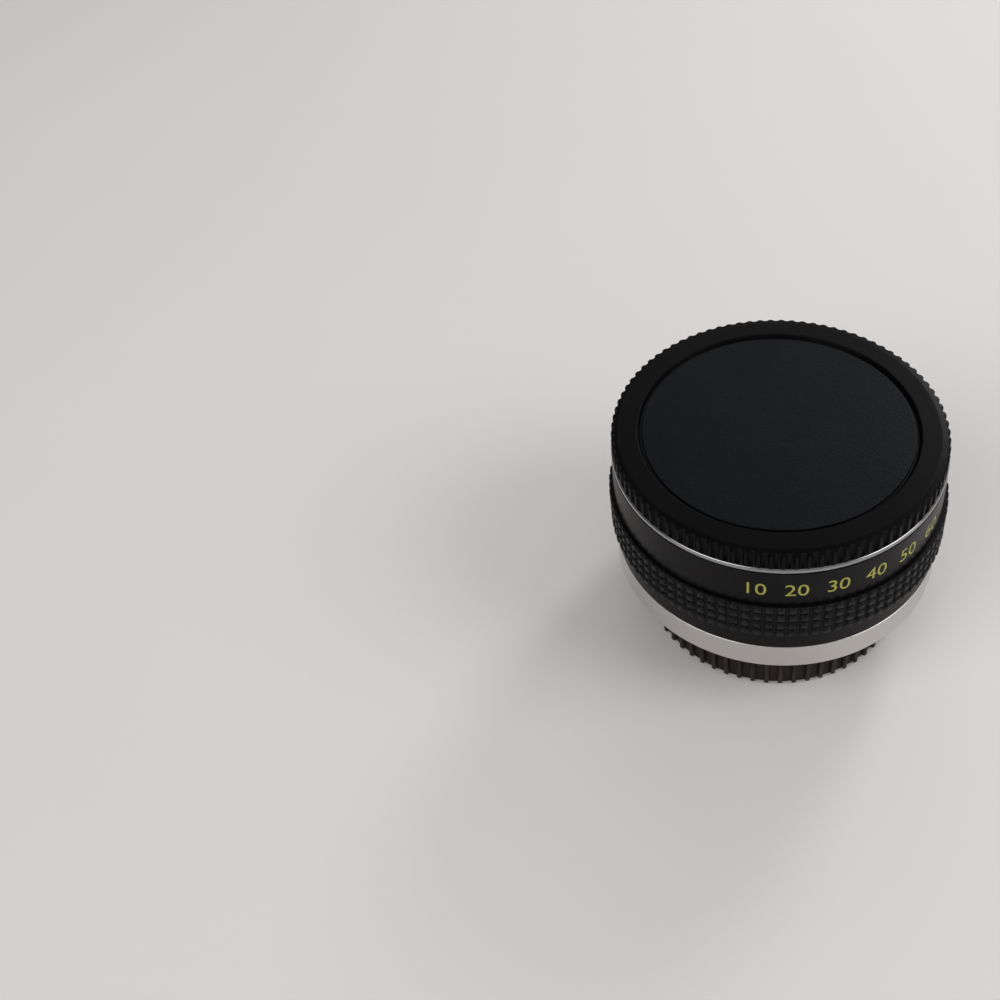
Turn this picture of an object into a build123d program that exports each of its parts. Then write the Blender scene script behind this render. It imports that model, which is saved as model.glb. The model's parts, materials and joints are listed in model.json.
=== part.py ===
from build123d import *
import math
import os

# Camera teleconverter with a breech-lock bayonet, standing on its rear cap, front cap on.
# Millimetres and degrees. Z is the optical axis and points up to the lens side. The origin
# is in the middle of the rear cap's underside.

# Clearances
running_gap = 0.08  # radial, between round parts that turn or slide in each other
end_play = 0.1  # along the axis, between parts that turn on each other
lift_gap = 0.3  # between parts that pass each other freely
glue_gap = 0.02  # radial, between parts that are pressed, screwed or glued together
overrun = 1.0  # how far a cutter runs past the face that it opens
edge = 0.25  # chamfer on the outer edges of turned parts

# Bayonets at both ends
throat_r = 24.0  # bore that a lens goes into, and spigot's partner in the camera
lug_count = 3
lug_turn = 60.0  # breech ring's turn from open to locked

# Rear cap
rear_cap_height = 17.8
rear_cap_floor = 1.6
rear_cap_wall = 1.2
rear_cap_bevel = 0.5
rear_skirt_reach = 0.7  # ribbed skirt beyond the collar that enters the breech ring
rear_rib_count = 60
rear_rib_reach = 0.75
rear_rib_foot = 0.5  # plain height at both ends of the ribs
rear_rib_tip_share = 0.3
rear_rib_base_share = 0.4
rear_lug_thickness = 1.2
rear_lug_reach = 2.3
rear_lug_span = 50.0

# Rear mount: flange plate and spigot
rear_plate_thickness = 0.9
rear_plate_margin = 1.4  # plate beyond the camera's lugs
spigot_gap = 0.7
spigot_wall = 1.0
spigot_reach = 5.2
rear_screw_count = 4
rear_screw_start_angle = 45.0
rear_screw_length = 3.2

# Breech ring
breech_height = 5.9
breech_wall = 2.1
breech_lug_thickness = 1.3
breech_lug_span = 50.0
breech_lug_room = 1.1  # between the rear cap's collar and the lugs
breech_lip_thickness = 1.2
breech_lip_reach = 1.1
breech_dot_r = 0.9
breech_dot_depth = 0.5
breech_dot_angle = 90.0

# Screws
screw_r = 0.8
screw_head_r = 1.4
screw_head_height = 0.6
screw_slot = 0.35
screw_slot_depth = 0.3

# Lock pin that keeps the breech ring open until a camera presses it in
lock_pin_r = 0.6
lock_pin_head_r = 0.9
lock_pin_head_height = 0.5
lock_pin_reach = 0.8
lock_pin_travel = 0.7
lock_pin_angle = 0.0
lock_spring_wall = 0.25
lock_spring_solid = 1.2  # length of the spring when the pin is pressed right in

# Barrel
barrel_floor = 2.8
barrel_wall = 1.9
barrel_ledge_step = 0.7  # barrel's ledge beyond the breech ring's lug room
band_height = 4.7  # smooth band under the grip
sleeve_thickness = 1.1  # depth of the seat for grip ring and name band
carrier_room = 4.6  # inside height from the floor to the carriers' ledge
carrier_ledge = 1.3  # width of that ledge

# Grip ring
grip_height = 8.3
grip_rows = 4
grip_groove = 0.7
grip_groove_extra = 0.05  # grooves go this much deeper than the gaps between pads
grip_pad_count = 96
grip_pad_height = 0.6
grip_stand = 1.0  # pads stand this far beyond the smooth band
grip_pad_tip_share = 0.5
grip_pad_base_share = 0.78

# Name band
name_gap = 0.2  # dark groove between grip ring and name band
name_height = 8.9

# Chrome trim ring and front mount
trim_height = 1.1
front_plate_lap = 0.7  # mount plate's seat on the barrel wall
collar_wall = 2.4
collar_height = 2.4
front_lug_reach = 2.0
front_lug_thickness = 1.1
front_lug_span = 54.0
front_lug_start_angle = 90.0
front_screw_length = 3.4
front_dot_r = 0.7
front_dot_depth = 0.5
front_dot_angle = 60.0
base_ring_height = 4.0
base_screw_length = 4.6
base_screw_count = 3
base_screw_start_angle = 90.0

# Throat liner
liner_gap = 0.4
liner_wall = 0.75
liner_floor = 0.8
liner_drop = 0.5  # from the carriers' retainer to the liner's floor
ridge_count = 8
ridge_depth = 0.3
ridge_margin = 1.2

# Front cap
front_cap_height = 4.1
front_cap_inset = 0.2
front_cap_room = 1.8
front_cap_lid = 1.45
front_cap_lug_span = 48.0
front_cap_lug_thickness = 0.85
front_cap_lug_lift = 0.2
cap_round_width = 0.35
cap_round_height = 0.7  # from the cap's top to where the rounding ends
cap_bevel_width = 1.5  # shallow bevel outside the top ring, rounding included
cap_bevel_fall = 0.3
cap_flat_fall = 0.08  # the top ring falls this much to the bevel
disc_rim_width = 5.2  # from the cap's outer radius to the sunk disc's edge
disc_slope_width = 0.5
disc_groove_width = 0.45
disc_groove_depth = 0.85
disc_depth = 0.5
flute_count = 90
flute_r = 0.85
flute_out = 0.15  # flute's centre beyond the cap's outer radius
flute_drop = 0.6  # from the cap's top to the middle of a flute's round end

# Levers, carriers and their springs
lever_gap = 1.0
lever_thickness = 1.2
lever_width = 3.0
lever_bevel = 0.7
lever_arm_thickness = 0.8
lever_arm_lap = 2.4
slot_gap = 0.4
slot_end_gap = 1.5  # degrees
rear_lever_reach = 9.8
front_lever_drop = 1.1
carrier_inset = 2.1
carrier_thickness = 1.8
carrier_spacer_height = 2.0
carrier_spacer_width = 1.6
retainer_height = 1.2
retainer_width = 2.7
diaphragm_travel = 18.0
diaphragm_rear_angle = 200.0
diaphragm_front_angle = 160.0
diaphragm_stop_angle = 20.0
signal_travel = 30.0
signal_rear_angle = 300.0
signal_front_angle = 40.0
signal_stop_angle = 260.0
stop_notch_depth = 1.5
stop_screw_tip = 0.3  # from the notch's bottom to the screw
return_wire_r = 0.3
return_wire_span = 290.0
diaphragm_spring_inset = 3.0
signal_tail_drop = 1.2

# Aperture pin
aperture_pin_r = 0.9
aperture_pin_reach = 8.3
aperture_pin_angle = 100.0

# Optics
tube_margin = 2.0
tube_wall = 3.0
tube_reach = 4.4
tube_flange_reach = 1.2
tube_flange_height = 1.0
tube_lip = 0.6
lock_ring_height = 0.8
baffle_thickness = 0.8
baffle_rim = 1.2
baffle_frame = 3.2  # left outside the window's corners
baffle_diagonal_angle = 34.3
baffle_corner_r = 0.6
shoulder_thickness = 1.2
lens_rim = 0.9
rear_lens_edge = 2.0
rear_lens_sag_low = 1.0
rear_lens_sag_high = 1.4
third_lens_edge = 3.8
third_lens_sag_low = -1.2
third_lens_sag_high = -1.4
second_lens_edge = 2.0
second_lens_sag_low = 1.5
second_lens_sag_high = 1.0
front_lens_edge = 3.2
front_lens_sag_low = -1.8
front_lens_sag_high = 0.8
rear_spacer_height = 2.2
middle_spacer_height = 1.6
front_spacer_height = 1.6
front_retainer_height = 1.8
front_retainer_flare = 0.4
spanner_slot_width = 1.0
spanner_slot_depth = 0.7

# Radii that follow, from the throat outwards
rear_cap_r = throat_r + rear_cap_wall
rear_skirt_r = rear_cap_r + rear_skirt_reach
rear_rib_r = rear_skirt_r + rear_rib_reach
rear_lug_r = rear_cap_r + rear_lug_reach
rear_plate_r = rear_lug_r + rear_plate_margin
breech_lug_r = rear_cap_r + breech_lug_room
breech_bore_r = rear_plate_r + lift_gap
neck_r = rear_plate_r - breech_lip_reach
ledge_r = breech_bore_r + barrel_ledge_step
breech_r = ledge_r + lift_gap + breech_wall
band_r = breech_r
barrel_r = band_r - sleeve_thickness
barrel_bore_r = barrel_r - barrel_wall
grip_r = band_r + grip_stand
grip_root_r = grip_r - grip_pad_height
collar_r = throat_r + collar_wall
front_lug_r = collar_r + front_lug_reach
front_plate_r = barrel_bore_r + front_plate_lap
front_cap_r = band_r - front_cap_inset
front_cap_bore_r = front_lug_r + front_cap_room
front_cap_lug_r = collar_r + lift_gap
liner_r = throat_r + liner_gap
liner_outer_r = liner_r + liner_wall

# Radii that follow, from the throat inwards
spigot_r = throat_r - spigot_gap
spigot_bore_r = spigot_r - spigot_wall
lever_outer_r = spigot_bore_r - lever_gap
lever_inner_r = lever_outer_r - lever_thickness
slot_outer_r = lever_outer_r + slot_gap
slot_inner_r = lever_inner_r - slot_gap
lever_middle_r = (lever_outer_r + lever_inner_r) / 2
carrier_inner_r = lever_outer_r + carrier_inset
carrier_r = barrel_bore_r - running_gap
tube_r = slot_inner_r - tube_margin
tube_flange_r = tube_r + tube_flange_reach
tube_bore_r = tube_r - tube_wall
lens_r = tube_bore_r - glue_gap
clear_r = lens_r - lens_rim
baffle_r = tube_r - baffle_rim

# Heights that follow, from the rear cap's underside up
flange_z = rear_cap_height
breech_low = flange_z - rear_lug_thickness - lift_gap - breech_lug_thickness
breech_high = breech_low + breech_height
rear_skirt_high = breech_low - lift_gap
barrel_low = flange_z + rear_plate_thickness
lip_low = barrel_low + end_play
lip_high = lip_low + breech_lip_thickness
ledge_low = lip_high + end_play
band_low = breech_high + end_play
floor_top = barrel_low + barrel_floor
grip_low = band_low + band_height
grip_high = grip_low + grip_height
name_low = grip_high + name_gap
barrel_high = name_low + name_height
trim_high = barrel_high + trim_height
collar_high = trim_high + collar_height
front_lug_low = collar_high - front_lug_thickness
cap_top = trim_high + front_cap_height
cap_under = cap_top - front_cap_lid
spigot_low = flange_z - spigot_reach
diaphragm_low = floor_top + carrier_room + end_play
diaphragm_high = diaphragm_low + carrier_thickness
spacer_low = diaphragm_high + end_play
spacer_high = spacer_low + carrier_spacer_height
signal_low = spacer_high + end_play
signal_high = signal_low + carrier_thickness
retainer_low = signal_high + end_play
retainer_high = retainer_low + retainer_height
liner_low = retainer_high + liner_drop
lever_low = flange_z - rear_lever_reach
lever_high = barrel_high - front_lever_drop
base_ring_low = barrel_high - base_ring_height
tube_low = flange_z - tube_reach
shoulder_low = tube_low + baffle_thickness
rear_lens_low = shoulder_low + shoulder_thickness
rear_spacer_low = rear_lens_low + rear_lens_edge
third_lens_low = rear_spacer_low + rear_spacer_height
middle_spacer_low = third_lens_low + third_lens_edge
second_lens_low = middle_spacer_low + middle_spacer_height
front_spacer_low = second_lens_low + second_lens_edge
front_lens_low = front_spacer_low + front_spacer_height
front_retainer_low = front_lens_low + front_lens_edge
front_retainer_high = front_retainer_low + front_retainer_height
tube_high = front_retainer_high + tube_lip

# Pitch radii of fasteners
rear_screw_pitch_r = (spigot_r + rear_plate_r) / 2
front_screw_pitch_r = (collar_r + front_plate_r) / 2
lock_pin_pitch_r = rear_cap_r + lift_gap + lock_pin_r

# Lock pin's spring at rest
lock_spring_length = lock_pin_travel + lock_spring_solid


def turned(*corners):
    """A solid turned about the optical axis from (radius, height) corners."""
    outline = Polyline(*[(radius, 0, height) for radius, height in corners], close=True)
    return revolve(make_face(outline), Axis.Z)


def ring(inner_r, outer_r, low, high):
    return turned((inner_r, low), (outer_r, low), (outer_r, high), (inner_r, high))


def edged_ring(inner_r, outer_r, low, high, bevel):
    """A ring whose two outer edges are chamfered."""
    return turned(
        (inner_r, low),
        (outer_r - bevel, low),
        (outer_r, low + bevel),
        (outer_r, high - bevel),
        (outer_r - bevel, high),
        (inner_r, high),
    )


def sector(inner_r, outer_r, low, high, start, end):
    """The stretch of a ring from one angle to another."""
    corners = [(inner_r, low), (outer_r, low), (outer_r, high), (inner_r, high)]
    outline = Polyline(*[(radius, 0, height) for radius, height in corners], close=True)
    return Rot(0, 0, start) * revolve(make_face(outline), Axis.Z, end - start)


def lugs(inner_r, outer_r, low, high, first, span):
    """The three lugs of a bayonet, the first one centred on an angle."""
    middles = [first + i * 360 / lug_count for i in range(lug_count)]
    return [sector(inner_r, outer_r, low, high, m - span / 2, m + span / 2) for m in middles]


def toothed(root_r, tip_r, low, high, count, base_share, tip_share):
    """A prism with straight teeth round it, whose widths are shares of the pitch."""
    corners = []
    for i in range(count):
        for radius, place in (
            (root_r, i - base_share / 2),
            (tip_r, i - tip_share / 2),
            (tip_r, i + tip_share / 2),
            (root_r, i + base_share / 2),
        ):
            angle = math.radians(place * 360 / count)
            corners.append((radius * math.cos(angle), radius * math.sin(angle), low))
    return extrude(make_face(Polyline(*corners, close=True)), high - low)


def upright(radius, low, high, pitch_r, angle):
    """A cylinder along the optical axis, at a pitch radius and an angle."""
    place = Rot(0, 0, angle) * Pos(pitch_r, 0, (low + high) / 2)
    return place * Cylinder(radius, high - low)


def radial(radius, inner_r, outer_r, height, angle):
    """A cylinder that points away from the optical axis."""
    place = Rot(0, 0, angle) * Pos((inner_r + outer_r) / 2, 0, height) * Rot(0, 90, 0)
    return place * Cylinder(radius, outer_r - inner_r)


def angles(first, count):
    return [first + i * 360 / count for i in range(count)]


def countersunk(face_z, outward, length, pitch_r, angle, gap=0):
    """A slotted countersunk screw flush with a face; a gap makes it the hole for one."""
    head = screw_head_r + gap
    shank = screw_r + gap
    corners = [
        (0, face_z),
        (head, face_z),
        (shank, face_z - outward * screw_head_height),
        (shank, face_z - outward * length),
        (0, face_z - outward * length),
    ]
    screw = Rot(0, 0, angle) * Pos(pitch_r, 0, 0) * turned(*corners)
    if gap:
        return screw
    slot_middle = face_z - outward * screw_slot_depth / 2
    slot = Box(screw_head_r + screw_head_r + overrun, screw_slot, screw_slot_depth)
    return screw - Rot(0, 0, angle) * Pos(pitch_r, 0, slot_middle) * Rot(0, 0, angle) * slot


def lever(angle, leg_end, arm_low):
    """A pressed lever: a flat arm that lies on its carrier and an upright leg."""
    arm_high = arm_low + lever_arm_thickness
    arm_outer_r = carrier_inner_r + lever_arm_lap
    arm_place = Pos((lever_inner_r + arm_outer_r) / 2, 0, (arm_low + arm_high) / 2)
    arm = arm_place * Box(arm_outer_r - lever_inner_r, lever_width, lever_arm_thickness)
    root = arm_high if leg_end < arm_low else arm_low
    leg_place = Pos(lever_middle_r, 0, (leg_end + root) / 2)
    leg = leg_place * Box(lever_thickness, lever_width, abs(leg_end - root))
    tip = [e for e in leg.edges().filter_by(Axis.X) if abs(e.center().Z - leg_end) < glue_gap]
    return Rot(0, 0, angle) * (arm + chamfer(tip, lever_bevel))


def lever_slot(angle, travel, low, high):
    """The slot that lets a lever swing through its travel."""
    half = math.degrees(math.atan2(lever_width / 2, lever_inner_r)) + slot_end_gap
    return sector(slot_inner_r, slot_outer_r, low, high, angle - half, angle + travel + half)


def stop_notch(screw_angle, travel, low, high):
    """The notch in a carrier's rim that runs against its stop screw."""
    half = math.degrees(math.asin(screw_r / carrier_r)) + slot_end_gap
    inner = carrier_r - stop_notch_depth
    outer = carrier_r + overrun
    start = screw_angle - travel - half
    return sector(inner, outer, low - overrun, high + overrun, start, screw_angle + half)


def sagged(radius, apex, height):
    """The half arc of a lens face, from the rim to its apex on the axis."""
    sag = apex - height
    curve_r = (radius * radius + sag * sag) / (abs(sag) + abs(sag))
    half_fall = curve_r - math.sqrt(curve_r * curve_r - radius * radius / 4)
    middle = apex - math.copysign(half_fall, sag)
    return ThreePointArc((radius, 0, height), (radius / 2, 0, middle), (0, 0, apex))


def lens(low, edge_thickness, sag_low, sag_high):
    """A round lens with a flat rim; a sag below zero makes that face hollow."""
    high = low + edge_thickness
    outline = [
        sagged(clear_r, low - sag_low, low),
        Line((clear_r, 0, low), (lens_r, 0, low)),
        Line((lens_r, 0, low), (lens_r, 0, high)),
        Line((lens_r, 0, high), (clear_r, 0, high)),
        sagged(clear_r, high + sag_high, high),
        Line((0, 0, high + sag_high), (0, 0, low - sag_low)),
    ]
    return revolve(make_face(outline), Axis.Z)


def rear_cap():
    """Ribbed cup with three outward lugs, which stands in for the camera's mount."""
    skirt = edged_ring(0, rear_skirt_r, 0, rear_skirt_high, rear_cap_bevel)
    collar = edged_ring(0, rear_cap_r, rear_cap_floor, flange_z, rear_cap_bevel)
    ribs = toothed(
        rear_skirt_r - rear_cap_wall / 2,
        rear_rib_r,
        rear_rib_foot,
        rear_skirt_high - rear_rib_foot,
        rear_rib_count,
        rear_rib_base_share,
        rear_rib_tip_share,
    )
    lug_low = flange_z - rear_lug_thickness
    cup = skirt + collar + ribs
    cup = cup + lugs(throat_r, rear_lug_r, lug_low, flange_z, lug_turn, rear_lug_span)
    return cup - upright(throat_r, rear_cap_floor, flange_z + overrun, 0, 0)


def breech_ring():
    """Satin ring with three inward lugs, which turns on the barrel's neck."""
    body = turned(
        (breech_lug_r, breech_low),
        (breech_r - edge, breech_low),
        (breech_r, breech_low + edge),
        (breech_r, breech_high - edge),
        (breech_r - edge, breech_high),
        (ledge_r + lift_gap, breech_high),
        (ledge_r + lift_gap, lip_high),
        (neck_r + running_gap, lip_high),
        (neck_r + running_gap, lip_low),
        (breech_bore_r, lip_low),
        (breech_bore_r, breech_low + breech_lug_thickness),
        (breech_lug_r, breech_low + breech_lug_thickness),
    )
    pitch = 360 / lug_count
    gaps = [
        sector(
            breech_lug_r - overrun,
            breech_bore_r,
            breech_low - overrun,
            breech_low + breech_lug_thickness,
            i * pitch + breech_lug_span / 2,
            (i + 1) * pitch - breech_lug_span / 2,
        )
        for i in range(lug_count)
    ]
    return body - gaps - breech_dot(glue_gap)


def breech_dot(gap=0):
    middle = (breech_low + breech_high) / 2
    floor_r = breech_r - breech_dot_depth - gap
    return radial(breech_dot_r + gap, floor_r, breech_r + gap, middle, breech_dot_angle)


def rear_mount():
    """Flange plate that meets the camera, with the spigot that enters its throat."""
    body = turned(
        (spigot_bore_r, spigot_low),
        (spigot_r - edge, spigot_low),
        (spigot_r, spigot_low + edge),
        (spigot_r, flange_z),
        (rear_plate_r, flange_z),
        (rear_plate_r, barrel_low),
        (spigot_bore_r, barrel_low),
    )
    holes = rear_screws(glue_gap)
    holes.append(lock_pin_bore(flange_z - overrun, barrel_low + overrun, lock_pin_r))
    return body - holes


def rear_screws(gap=0):
    return [
        countersunk(flange_z, -1, rear_screw_length + gap, rear_screw_pitch_r, a, gap)
        for a in angles(rear_screw_start_angle, rear_screw_count)
    ]


def lock_pin_bore(low, high, radius):
    return upright(radius + running_gap, low, high, lock_pin_pitch_r, lock_pin_angle)


def lock_pin():
    """Headed pin that stands out of the flange face and slides up when pressed."""
    stem = upright(
        lock_pin_r, flange_z - lock_pin_reach, barrel_low, lock_pin_pitch_r, lock_pin_angle
    )
    head_high = barrel_low + lock_pin_head_height
    head = upright(lock_pin_head_r, barrel_low, head_high, lock_pin_pitch_r, lock_pin_angle)
    return stem + head


def lock_pin_spring():
    low = barrel_low + lock_pin_head_height
    high = low + lock_spring_length
    outer = upright(lock_pin_head_r, low, high, lock_pin_pitch_r, lock_pin_angle)
    bore_r = lock_pin_head_r - lock_spring_wall
    return outer - upright(bore_r, low, high, lock_pin_pitch_r, lock_pin_angle)


def barrel_shell():
    """Black barrel: floor that holds the optics, neck, smooth band and sleeve seat."""
    carrier_seat = floor_top + carrier_room
    body = turned(
        (tube_r + glue_gap, barrel_low),
        (neck_r, barrel_low),
        (neck_r, ledge_low),
        (ledge_r, ledge_low),
        (ledge_r, band_low),
        (band_r - edge, band_low),
        (band_r, band_low + edge),
        (band_r, grip_low - edge),
        (band_r - edge, grip_low),
        (barrel_r, grip_low),
        (barrel_r, barrel_high),
        (barrel_bore_r, barrel_high),
        (barrel_bore_r, carrier_seat),
        (barrel_bore_r - carrier_ledge, carrier_seat),
        (barrel_bore_r - carrier_ledge, floor_top),
        (tube_r + glue_gap, floor_top),
    )
    slot_low = barrel_low - overrun
    slot_high = floor_top + overrun
    spring_end = barrel_low + lock_pin_head_height + lock_spring_length
    cuts = [
        lever_slot(diaphragm_rear_angle, diaphragm_travel, slot_low, slot_high),
        lever_slot(signal_rear_angle, signal_travel, slot_low, slot_high),
        upright(
            aperture_pin_r + glue_gap, slot_low, slot_high, lever_middle_r, aperture_pin_angle
        ),
        lock_pin_bore(slot_low, spring_end, lock_pin_head_r),
    ]
    cuts += rear_screws(glue_gap) + stop_screws(glue_gap) + base_screws(glue_gap)
    return body - cuts


def stop_screws(gap=0):
    """Grub screws through the barrel wall that end the carriers' turns."""
    tip_r = carrier_r - stop_notch_depth + stop_screw_tip
    places = (
        ((diaphragm_low + diaphragm_high) / 2, diaphragm_stop_angle),
        ((signal_low + signal_high) / 2, signal_stop_angle),
    )
    return [radial(screw_r + gap, tip_r, barrel_r - glue_gap + gap, z, a) for z, a in places]


def base_screws(gap=0):
    """Grub screws under the name band that hold the mount's base ring."""
    outer = barrel_r - glue_gap
    inner = outer - base_screw_length
    middle = base_ring_low + base_ring_height / 2
    return [
        radial(screw_r + gap, inner - gap, outer + gap, middle, a)
        for a in angles(base_screw_start_angle, base_screw_count)
    ]


def grip_ring():
    """Sleeve with rows of small square pads."""
    body = toothed(
        grip_root_r,
        grip_r,
        grip_low,
        grip_high,
        grip_pad_count,
        grip_pad_base_share,
        grip_pad_tip_share,
    )
    pad_length = (grip_height - (grip_rows - 1) * grip_groove) / grip_rows
    groove_r = grip_root_r - grip_groove_extra
    cuts = [upright(barrel_r + glue_gap, grip_low, grip_high, 0, 0)]
    for i in range(grip_rows - 1):
        low = grip_low + pad_length + i * (pad_length + grip_groove)
        cuts.append(ring(groove_r, grip_r + overrun, low, low + grip_groove))
    return body - cuts


def name_band():
    return edged_ring(barrel_r + glue_gap, band_r, name_low, barrel_high, edge)


def chrome_trim_ring():
    return edged_ring(front_plate_r + glue_gap, band_r, barrel_high, trim_high, edge)


def front_mount():
    """Plate and collar with three outward lugs, round the throat that a lens enters."""
    body = turned(
        (throat_r, barrel_high),
        (front_plate_r, barrel_high),
        (front_plate_r, trim_high),
        (collar_r, trim_high),
        (collar_r, collar_high),
        (throat_r + edge, collar_high),
        (throat_r, collar_high - edge),
    )
    body = body + lugs(
        throat_r + collar_wall / 2,
        front_lug_r,
        front_lug_low,
        collar_high,
        front_lug_start_angle,
        front_lug_span,
    )
    return body - front_screws(glue_gap) - front_dot(glue_gap)


def front_screws(gap=0):
    return [
        countersunk(trim_high, 1, front_screw_length + gap, front_screw_pitch_r, a, gap)
        for a in angles(front_lug_start_angle + 180 / lug_count, lug_count)
    ]


def front_dot(gap=0):
    low = trim_high - front_dot_depth - gap
    return upright(front_dot_r + gap, low, trim_high, front_screw_pitch_r, front_dot_angle)


def mount_base_ring():
    inner = liner_outer_r + glue_gap
    outer = barrel_bore_r - glue_gap
    body = ring(inner, outer, base_ring_low, barrel_high)
    return body - front_screws(glue_gap) - base_screws(glue_gap)


def throat_liner():
    """Blackened cup under the front mount, ridged inside, slotted for the levers."""
    floor_high = liner_low + liner_floor
    ridge_low = floor_high + ridge_margin
    ridge_pitch = (barrel_high - ridge_margin - ridge_low) / ridge_count
    corners = [
        (tube_r + lift_gap, liner_low),
        (liner_outer_r, liner_low),
        (liner_outer_r, barrel_high),
        (liner_r, barrel_high),
    ]
    for i in reversed(range(ridge_count)):
        corners.append((liner_r, ridge_low + (i + 1) * ridge_pitch))
        corners.append((liner_r + ridge_depth, ridge_low + i * ridge_pitch))
    corners.append((liner_r, ridge_low))
    corners.append((liner_r, floor_high))
    corners.append((tube_r + lift_gap, floor_high))
    slot_low = liner_low - overrun
    slot_high = floor_high + overrun
    cuts = [
        lever_slot(diaphragm_front_angle, diaphragm_travel, slot_low, slot_high),
        lever_slot(signal_front_angle, signal_travel, slot_low, slot_high),
    ]
    return turned(*corners) - cuts


def front_cap():
    """Fluted cap with a round sunk disc, and three lugs that grip the front mount."""
    disc_edge_r = front_cap_r - disc_rim_width
    groove_outer_r = disc_edge_r - disc_slope_width
    groove_inner_r = groove_outer_r - disc_groove_width
    disc_z = cap_top - disc_depth
    groove_z = cap_top - disc_groove_depth
    flat_r = front_cap_r - cap_bevel_width
    flat_z = cap_top - cap_flat_fall
    bevel_r = front_cap_r - cap_round_width
    bevel_z = cap_top - cap_bevel_fall
    round_low = cap_top - cap_round_height
    bow = math.sqrt(1 / 2)
    round_middle = (
        bevel_r + cap_round_width * bow,
        0,
        round_low + (bevel_z - round_low) * bow,
    )
    outline = [
        Polyline(
            (bevel_r, 0, bevel_z),
            (flat_r, 0, flat_z),
            (disc_edge_r, 0, cap_top),
            (groove_outer_r, 0, groove_z),
            (groove_inner_r, 0, groove_z),
            (groove_inner_r, 0, disc_z),
            (0, 0, disc_z),
            (0, 0, cap_under),
            (front_cap_bore_r, 0, cap_under),
            (front_cap_bore_r, 0, trim_high),
            (front_cap_r, 0, trim_high),
            (front_cap_r, 0, round_low),
        ),
        ThreePointArc((front_cap_r, 0, round_low), round_middle, (bevel_r, 0, bevel_z)),
    ]
    body = revolve(make_face(outline), Axis.Z)
    lug_low = trim_high + front_cap_lug_lift
    body = body + lugs(
        front_cap_lug_r,
        (front_cap_bore_r + front_cap_r) / 2,
        lug_low,
        lug_low + front_cap_lug_thickness,
        front_lug_start_angle + 180 / lug_count,
        front_cap_lug_span,
    )
    flute_axis_r = front_cap_r + flute_out
    flute_end = cap_top - flute_drop
    flutes = []
    for a in angles(0, flute_count):
        flutes.append(upright(flute_r, trim_high - overrun, flute_end, flute_axis_r, a))
        flutes.append(Rot(0, 0, a) * Pos(flute_axis_r, 0, flute_end) * Sphere(flute_r))
    return body - flutes


def optics_tube():
    baffle_seat_r = baffle_r + glue_gap
    return turned(
        (baffle_seat_r, tube_low),
        (tube_r - edge, tube_low),
        (tube_r, tube_low + edge),
        (tube_r, floor_top),
        (tube_flange_r, floor_top),
        (tube_flange_r, floor_top + tube_flange_height),
        (tube_r, floor_top + tube_flange_height),
        (tube_r, tube_high - edge),
        (tube_r - edge, tube_high),
        (tube_bore_r, tube_high),
        (tube_bore_r, rear_lens_low),
        (clear_r, rear_lens_low),
        (clear_r, shoulder_low),
        (baffle_seat_r, shoulder_low),
    )


def rear_baffle():
    """Light mask with a rectangular window, in the tube's rear end."""
    plate = upright(baffle_r, tube_low, shoulder_low, 0, 0)
    slope = math.radians(baffle_diagonal_angle)
    across = (baffle_r - baffle_frame) * math.cos(slope)
    along = (baffle_r - baffle_frame) * math.sin(slope)
    window = RectangleRounded(across + across, along + along, baffle_corner_r)
    return plate - extrude(Pos(0, 0, tube_low - overrun) * window, baffle_thickness + overrun + overrun)


def spacer(low, height):
    return ring(clear_r, lens_r, low, low + height)


def front_retainer():
    """Threaded ring in front of the lenses, with two slots for a spanner."""
    body = turned(
        (clear_r, front_retainer_low),
        (lens_r, front_retainer_low),
        (lens_r, front_retainer_high),
        (clear_r + front_retainer_flare, front_retainer_high),
    )
    slot = Box(lens_r + lens_r + overrun, spanner_slot_width, spanner_slot_depth)
    return body - Pos(0, 0, front_retainer_high - spanner_slot_depth / 2) * slot


def carrier(low, stop_angle, travel):
    body = ring(carrier_inner_r, carrier_r, low, low + carrier_thickness)
    return body - stop_notch(stop_angle, travel, low, low + carrier_thickness)


def carrier_spacer():
    outer = barrel_bore_r - glue_gap
    return ring(outer - carrier_spacer_width, outer, spacer_low, spacer_high)


def carrier_retainer():
    outer = barrel_bore_r - glue_gap
    return ring(outer - retainer_width, outer, retainer_low, retainer_high)


def wire_arc(radius, height, start):
    """One open turn of spring wire."""
    section = Pos(radius, 0, height) * Rot(90, 0, 0) * Circle(return_wire_r)
    return Rot(0, 0, start) * revolve(section, Axis.Z, return_wire_span)


def diaphragm_return_spring():
    """Wire turn on the barrel floor whose end reaches up to the diaphragm carrier."""
    radius = barrel_bore_r - carrier_ledge - diaphragm_spring_inset
    height = floor_top + return_wire_r
    turn = wire_arc(radius, height, diaphragm_rear_angle)
    tail = upright(return_wire_r, height, diaphragm_low - lift_gap, radius, diaphragm_rear_angle)
    bend = Rot(0, 0, diaphragm_rear_angle) * Pos(radius, 0, height) * Sphere(return_wire_r)
    return turn + tail + bend


def signal_return_spring():
    """Wire turn on the carriers' retainer whose end reaches down to the signal carrier."""
    outer_r = barrel_bore_r - retainer_width / 2
    inner_r = barrel_bore_r - retainer_width - lift_gap - return_wire_r
    height = retainer_high + return_wire_r
    start = signal_stop_angle - signal_travel
    turn = wire_arc(outer_r, height, start)
    reach = radial(return_wire_r, inner_r, outer_r, height, start)
    tail = upright(return_wire_r, height - signal_tail_drop, height, inner_r, start)
    bends = [
        Rot(0, 0, start) * Pos(radius, 0, height) * Sphere(return_wire_r)
        for radius in (inner_r, outer_r)
    ]
    return turn + reach + tail + bends


def aperture_pin():
    low = flange_z - aperture_pin_reach
    pin = upright(aperture_pin_r, low, floor_top, lever_middle_r, aperture_pin_angle)
    tip = [e for e in pin.edges() if abs(e.center().Z - low) < glue_gap]
    return chamfer(tip, edge)


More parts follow.
